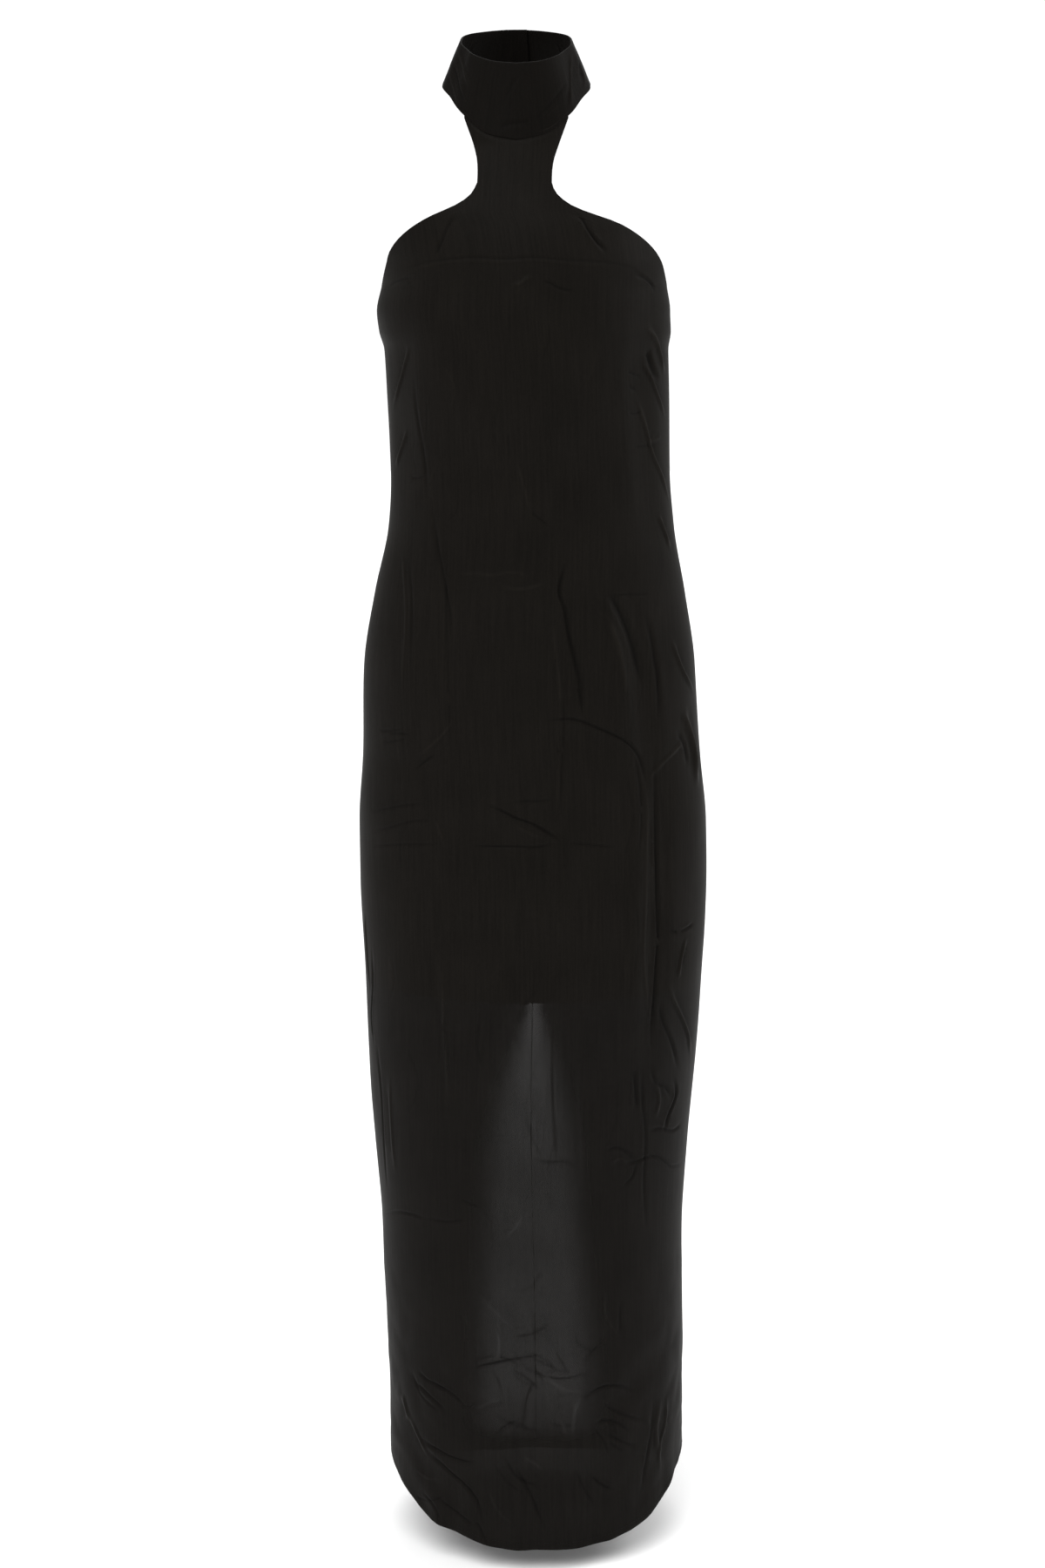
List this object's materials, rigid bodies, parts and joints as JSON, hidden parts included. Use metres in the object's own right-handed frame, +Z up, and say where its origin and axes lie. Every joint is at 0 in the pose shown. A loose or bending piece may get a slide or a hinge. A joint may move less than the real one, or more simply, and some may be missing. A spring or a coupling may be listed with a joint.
{
  "type": "halter column dress",
  "caption": "Floor-length sleeveless halter column dress in crepe silk, with a stand collar, a short slip lining and a centre back zip, in its hollow worn form.",
  "frame": {"origin": "the middle of the neck, level with the collar's lower edge beside the neck, where the wearer's neck carries the dress", "axes": "+Z up along the standing wearer, the front faces -Y, and the wearer's left is at +X"},
  "size_m": [0.3539, 0.262, 1.519],
  "materials": {
    "crepe_silk": "black crepe silk, lightly sheer below the knee, with a soft satin sheen",
    "lining_silk": "black plain-weave lining silk, smooth and slightly glossy",
    "covered_button": "button covered in the dress's own silk",
    "zip_metal": "black enamelled zip metal"
  },
  "bodies": {
    "dress": {"front": "crepe_silk", "back_right": "crepe_silk", "back_left": "crepe_silk", "collar": "crepe_silk", "lining_front": "lining_silk", "lining_back_right": "lining_silk", "lining_back_left": "lining_silk", "nape_button_upper": "covered_button", "nape_button_lower": "covered_button", "zip_slider": "zip_metal"},
    "zip_pull": {"zip_pull": "zip_metal"}
  },
  "joints": [
    {"name": "zip_pull_swing", "type": "hinge", "parent": "dress", "child": "zip_pull", "pos_m": [0.00712, 0.1059, -0.2095], "axis": [1, 0, 0], "range_deg": [0, 150]}
  ]
}
